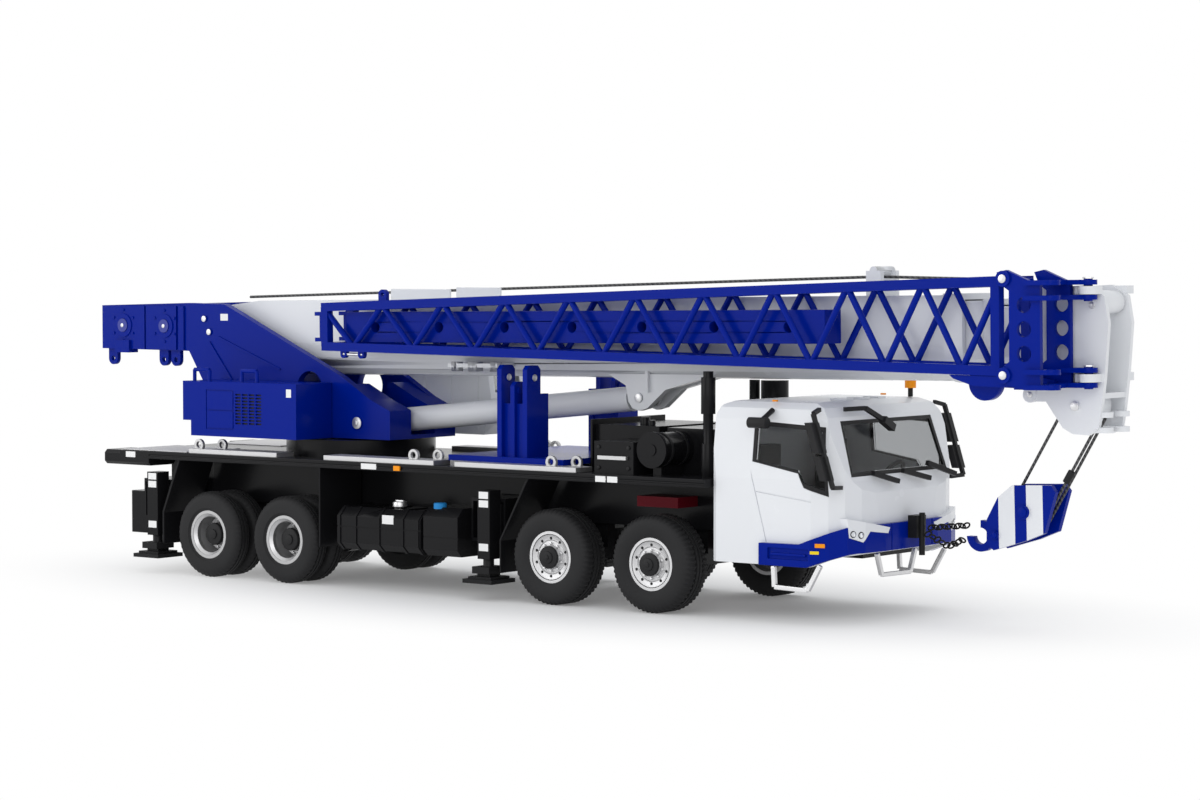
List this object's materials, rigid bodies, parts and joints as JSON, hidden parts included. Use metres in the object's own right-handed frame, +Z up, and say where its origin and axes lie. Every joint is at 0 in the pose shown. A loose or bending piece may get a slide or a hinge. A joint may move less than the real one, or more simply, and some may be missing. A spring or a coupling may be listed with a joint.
{
  "type": "scale model truck crane",
  "caption": "Scale model truck crane in white, blue and black with a telescopic boom, stowed lattice jib, slewing upper, outriggers and twin rear wheels.",
  "frame": {"origin": "middle of the footprint of the whole model, on the ground under the tyres", "axes": "+X forward, +Y to the model's left, +Z up"},
  "size_m": [0.3061, 0.062, 0.0816],
  "materials": {
    "white_paint": "gloss",
    "blue_paint": "gloss",
    "black_paint": "gloss",
    "silver_metal": "satin",
    "dark_metal": "satin",
    "tyre": "matte",
    "glass": "gloss",
    "dark_plastic": "matte",
    "lamp_plastic": "gloss",
    "red_paint": "satin",
    "rope": "satin"
  },
  "bodies": {
    "carrier": {"frame": "black_paint", "deck": "black_paint", "deck_plates": "silver_metal", "cab_shell": "white_paint", "cab_glass": "glass", "cab_interior": "dark_plastic", "bumper": "blue_paint", "cab_steps": "silver_metal", "cab_trim": "dark_plastic", "lamps": "lamp_plastic", "powerpack": "black_paint", "engine": "red_paint", "tanks": "black_paint", "outrigger_boxes": "black_paint", "counterweight": "blue_paint", "axles": "black_paint", "turntable_ring": "black_paint", "tow_chain": "black_paint"},
    "knuckle_r1": {"knuckle_r1": "dark_metal"},
    "wheel_r1": {"tyre_r1": "tyre", "rim_r1": "silver_metal"},
    "knuckle_r2": {"knuckle_r2": "dark_metal"},
    "wheel_r2": {"tyre_r2": "tyre", "rim_r2": "silver_metal"},
    "knuckle_l1": {"knuckle_l1": "dark_metal"},
    "wheel_l1": {"tyre_l1": "tyre", "rim_l1": "silver_metal"},
    "knuckle_l2": {"knuckle_l2": "dark_metal"},
    "wheel_l2": {"tyre_l2": "tyre", "rim_l2": "silver_metal"},
    "axle_3": {"tyres_3": "tyre", "rims_3": "silver_metal"},
    "axle_4": {"tyres_4": "tyre", "rims_4": "silver_metal"},
    "beam_fr": {"beam_fr": "black_paint"},
    "jack_fr": {"jack_fr": "dark_metal"},
    "beam_fl": {"beam_fl": "black_paint"},
    "jack_fl": {"jack_fl": "dark_metal"},
    "beam_rr": {"beam_rr": "black_paint"},
    "jack_rr": {"jack_rr": "dark_metal"},
    "beam_rl": {"beam_rl": "black_paint"},
    "jack_rl": {"jack_rl": "dark_metal"},
    "slew": {"slew_frame": "blue_paint", "housing": "blue_paint", "crane_cab": "white_paint", "crane_cab_glass": "glass"},
    "winch_main": {"winch_main": "silver_metal"},
    "winch_aux": {"winch_aux": "silver_metal"},
    "boom_base": {"boom_base": "white_paint", "hoist_rope": "rope"},
    "boom_2": {"boom_section_2": "white_paint"},
    "boom_3": {"boom_section_3": "white_paint", "boom_head": "white_paint"},
    "luff_barrel": {"luff_barrel": "white_paint"},
    "luff_rod": {"luff_rod": "silver_metal"},
    "jib": {"jib": "blue_paint", "jib_base": "blue_paint", "jib_beam": "blue_paint"},
    "hook": {"hook_block": "blue_paint", "rope_falls": "rope"}
  },
  "joints": [
    {"name": "slew", "type": "hinge", "parent": "carrier", "child": "slew", "pos_m": [-0.0704, 0, 0.0366], "axis": [0, 0, 1], "continuous": true},
    {"name": "luff", "type": "hinge", "parent": "slew", "child": "boom_base", "pos_m": [-0.1139, 0, 0.0655], "axis": [0, -1, 0], "range_deg": [0, 78]},
    {"name": "luff_barrel_swing", "type": "hinge", "parent": "slew", "child": "luff_barrel", "pos_m": [-0.06, 0, 0.041], "axis": [0, -1, 0], "range_deg": [0, 88.26]},
    {"name": "luff_rod_stroke", "type": "slide", "parent": "luff_barrel", "child": "luff_rod", "axis": [0.995, 0, 0.0998], "range_m": [0, 0.07241]},
    {"name": "telescope_2", "type": "slide", "parent": "boom_base", "child": "boom_2", "axis": [0.9999, 0, 0.014], "range_m": [0, 0.15]},
    {"name": "telescope_3", "type": "slide", "parent": "boom_2", "child": "boom_3", "axis": [0.9999, 0, 0.014], "range_m": [0, 0.15]},
    {"name": "jib_swing", "type": "hinge", "parent": "boom_3", "child": "jib", "pos_m": [0.14937, -0.00825, 0.06918], "axis": [-0.014, 0, 0.9999], "range_deg": [0, 180]},
    {"name": "hook_swing", "type": "hinge", "parent": "boom_3", "child": "hook", "pos_m": [0.14513, 0, 0.05081], "axis": [0, 1, 0], "range_deg": [0, 45.74]},
    {"name": "winch_main_turn", "type": "hinge", "parent": "slew", "child": "winch_main", "pos_m": [-0.1291, 0, 0.0651], "axis": [0, 1, 0], "continuous": true},
    {"name": "winch_aux_turn", "type": "hinge", "parent": "slew", "child": "winch_aux", "pos_m": [-0.1448, 0, 0.0651], "axis": [0, 1, 0], "continuous": true},
    {"name": "steer_r1", "type": "hinge", "parent": "carrier", "child": "knuckle_r1", "pos_m": [0.0446, -0.0162, 0.0116], "axis": [0, 0, 1], "range_deg": [-25, 25]},
    {"name": "wheel_r1_roll", "type": "hinge", "parent": "knuckle_r1", "child": "wheel_r1", "pos_m": [0.0446, -0.0222, 0.0116], "axis": [0, 1, 0], "continuous": true},
    {"name": "steer_l1", "type": "hinge", "parent": "carrier", "child": "knuckle_l1", "pos_m": [0.0446, 0.0162, 0.0116], "axis": [0, 0, 1], "range_deg": [-25, 25]},
    {"name": "wheel_l1_roll", "type": "hinge", "parent": "knuckle_l1", "child": "wheel_l1", "pos_m": [0.0446, 0.0222, 0.0116], "axis": [0, 1, 0], "continuous": true},
    {"name": "steer_r2", "type": "hinge", "parent": "carrier", "child": "knuckle_r2", "pos_m": [0.0146, -0.0162, 0.0116], "axis": [0, 0, 1], "range_deg": [-15.5, 15.5]},
    {"name": "wheel_r2_roll", "type": "hinge", "parent": "knuckle_r2", "child": "wheel_r2", "pos_m": [0.0146, -0.0222, 0.0116], "axis": [0, 1, 0], "continuous": true},
    {"name": "steer_l2", "type": "hinge", "parent": "carrier", "child": "knuckle_l2", "pos_m": [0.0146, 0.0162, 0.0116], "axis": [0, 0, 1], "range_deg": [-15.5, 15.5]},
    {"name": "wheel_l2_roll", "type": "hinge", "parent": "knuckle_l2", "child": "wheel_l2", "pos_m": [0.0146, 0.0222, 0.0116], "axis": [0, 1, 0], "continuous": true},
    {"name": "axle_3_roll", "type": "hinge", "parent": "carrier", "child": "axle_3", "pos_m": [-0.0718, 0, 0.0112], "axis": [0, 1, 0], "continuous": true},
    {"name": "axle_4_roll", "type": "hinge", "parent": "carrier", "child": "axle_4", "pos_m": [-0.0988, 0, 0.0112], "axis": [0, 1, 0], "continuous": true},
    {"name": "beam_fr_out", "type": "slide", "parent": "carrier", "child": "beam_fr", "axis": [0, -1, 0], "range_m": [0, 0.036]},
    {"name": "jack_fr_down", "type": "slide", "parent": "beam_fr", "child": "jack_fr", "axis": [0, 0, -1], "range_m": [0, 0.01]},
    {"name": "beam_fl_out", "type": "slide", "parent": "carrier", "child": "beam_fl", "axis": [0, 1, 0], "range_m": [0, 0.036]},
    {"name": "jack_fl_down", "type": "slide", "parent": "beam_fl", "child": "jack_fl", "axis": [0, 0, -1], "range_m": [0, 0.01]},
    {"name": "beam_rr_out", "type": "slide", "parent": "carrier", "child": "beam_rr", "axis": [0, -1, 0], "range_m": [0, 0.036]},
    {"name": "jack_rr_down", "type": "slide", "parent": "beam_rr", "child": "jack_rr", "axis": [0, 0, -1], "range_m": [0, 0.01]},
    {"name": "beam_rl_out", "type": "slide", "parent": "carrier", "child": "beam_rl", "axis": [0, 1, 0], "range_m": [0, 0.036]},
    {"name": "jack_rl_down", "type": "slide", "parent": "beam_rl", "child": "jack_rl", "axis": [0, 0, -1], "range_m": [0, 0.01]}
  ],
  "couplings": [
    {"joint": "luff_barrel_swing", "follows": "luff", "ratio": 1.1251},
    {"joint": "luff_rod_stroke", "follows": "luff", "m_per_rad": 0.052825},
    {"joint": "hook_swing", "follows": "luff", "ratio": 0.58},
    {"joint": "steer_l1", "follows": "steer_r1", "ratio": 1},
    {"joint": "steer_r2", "follows": "steer_r1", "ratio": 0.6},
    {"joint": "steer_l2", "follows": "steer_r1", "ratio": 0.6}
  ]
}
